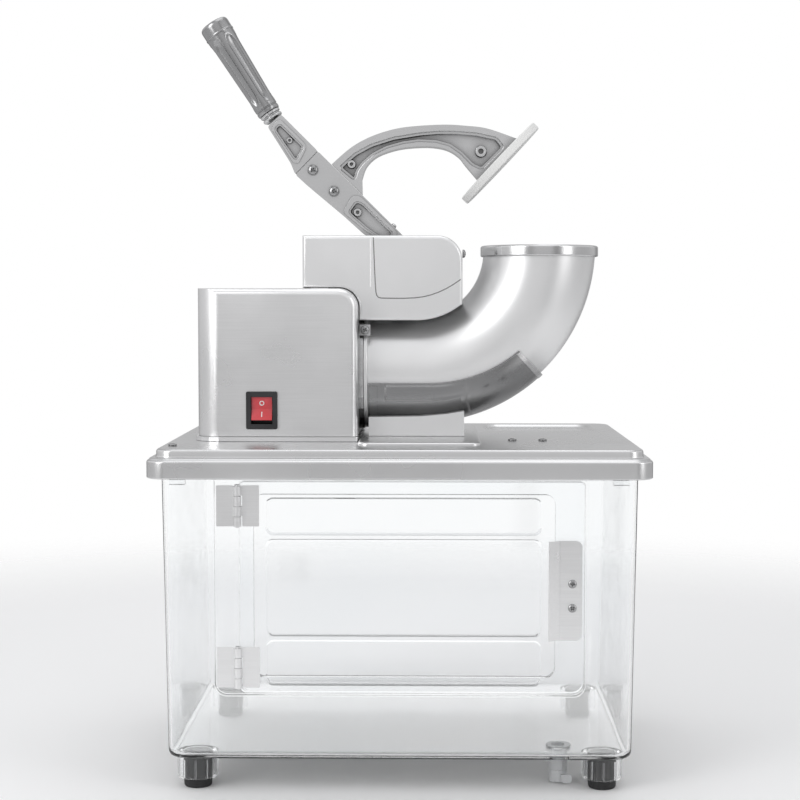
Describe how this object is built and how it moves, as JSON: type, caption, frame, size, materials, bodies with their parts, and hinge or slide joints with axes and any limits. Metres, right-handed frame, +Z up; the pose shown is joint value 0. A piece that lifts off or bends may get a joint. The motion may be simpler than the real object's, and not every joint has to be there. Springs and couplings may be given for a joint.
{
  "type": "shaved ice machine",
  "caption": "Electric shaved ice machine: clear ice cabinet with a hinged door, bent feed tube with a lever and pusher, motor housing with a rocker switch.",
  "frame": {"origin": "middle of the footprint, on the surface the machine stands on", "axes": "+Z up, front (door and switch) towards -Y, motor on the -X side and feed tube on the +X side"},
  "size_m": [0.396, 0.3, 0.6291],
  "materials": {
    "clear_plastic": "clear moulded plastic, glossy",
    "milky_plastic": "translucent milky plastic",
    "lid_metal": "satin silver pressing",
    "stainless": "fine brushed grain",
    "satin_silver": "smooth satin",
    "dark_steel": "dark mirror polish",
    "cast_metal": "polished die casting",
    "grip_metal": "polished, fluted",
    "motor_steel": "plain machined steel",
    "blade_steel": "ground",
    "white_nylon": "white moulded nylon, matt",
    "black_plastic": "black moulded plastic",
    "red_plastic": "translucent red, glossy",
    "rubber": "black rubber, matt",
    "copper": "copper winding"
  },
  "bodies": {
    "machine": {"tub": "clear_plastic", "foot_fl": "rubber", "foot_fr": "rubber", "foot_bl": "rubber", "foot_br": "rubber", "drain_spout": "milky_plastic", "lid": "lid_metal", "lid_screw_1": "stainless", "lid_screw_2": "stainless", "lid_screw_3": "stainless", "lid_clip_l": "clear_plastic", "lid_clip_r": "clear_plastic", "hinge_frame_upper": "stainless", "hinge_pin_upper": "stainless", "hinge_frame_lower": "stainless", "hinge_pin_lower": "stainless", "motor_housing": "stainless", "motor_base": "stainless", "power_inlet": "black_plastic", "switch_bezel": "black_plastic", "motor_can": "motor_steel", "motor_stator": "copper", "bearing_rear": "blade_steel", "bearing_front": "blade_steel", "cutter_chamber": "cast_metal", "elbow_tube": "satin_silver", "mouth_rim": "cast_metal", "elbow_cradle": "dark_steel", "cradle_block": "satin_silver", "pivot_bracket": "motor_steel", "lever_pin": "blade_steel", "arm_cover": "satin_silver", "cover_screw": "stainless", "clamp_screw_1": "stainless"},
    "door": {"door_panel": "clear_plastic", "hinge_door_upper": "stainless", "hinge_door_lower": "stainless", "door_handle": "stainless", "handle_screw_1": "stainless", "handle_screw_2": "stainless"},
    "lever": {"lever_arm": "cast_metal", "lever_neck": "cast_metal", "lever_collar": "cast_metal", "lever_grip": "grip_metal", "pusher_arm": "cast_metal", "pusher_plate": "white_nylon", "arm_screw_1": "stainless", "arm_screw_2": "stainless"},
    "rotor": {"motor_shaft": "motor_steel", "rotor_core": "motor_steel", "cooling_fan": "black_plastic", "blade_disc": "blade_steel", "blade_1": "blade_steel", "blade_2": "blade_steel", "blade_3": "blade_steel"},
    "rocker": {"switch_rocker": "red_plastic"},
    "plug": {"drain_plug": "milky_plastic"}
  },
  "joints": [
    {"name": "door_hinge", "type": "hinge", "parent": "machine", "child": "door", "pos_m": [-0.1256, -0.14675, 0.166], "axis": [0, 0, -1], "range_deg": [0, 170]},
    {"name": "lever_pivot", "type": "hinge", "parent": "machine", "child": "lever", "pos_m": [0.013, 0, 0.431], "axis": [0, 1, 0], "range_deg": [0, 84]},
    {"name": "shaft_spin", "type": "hinge", "parent": "machine", "child": "rotor", "pos_m": [-0.035, 0, 0.3305], "axis": [1, 0, 0], "continuous": true},
    {"name": "switch_rock", "type": "hinge", "parent": "machine", "child": "rocker", "pos_m": [-0.1136, -0.061, 0.2992], "axis": [1, 0, 0], "range_deg": [0, 16]},
    {"name": "plug_turn", "type": "hinge", "parent": "machine", "child": "plug", "pos_m": [0.128, -0.098, 0.01], "axis": [0, 0, 1], "range_deg": [0, 90]}
  ]
}
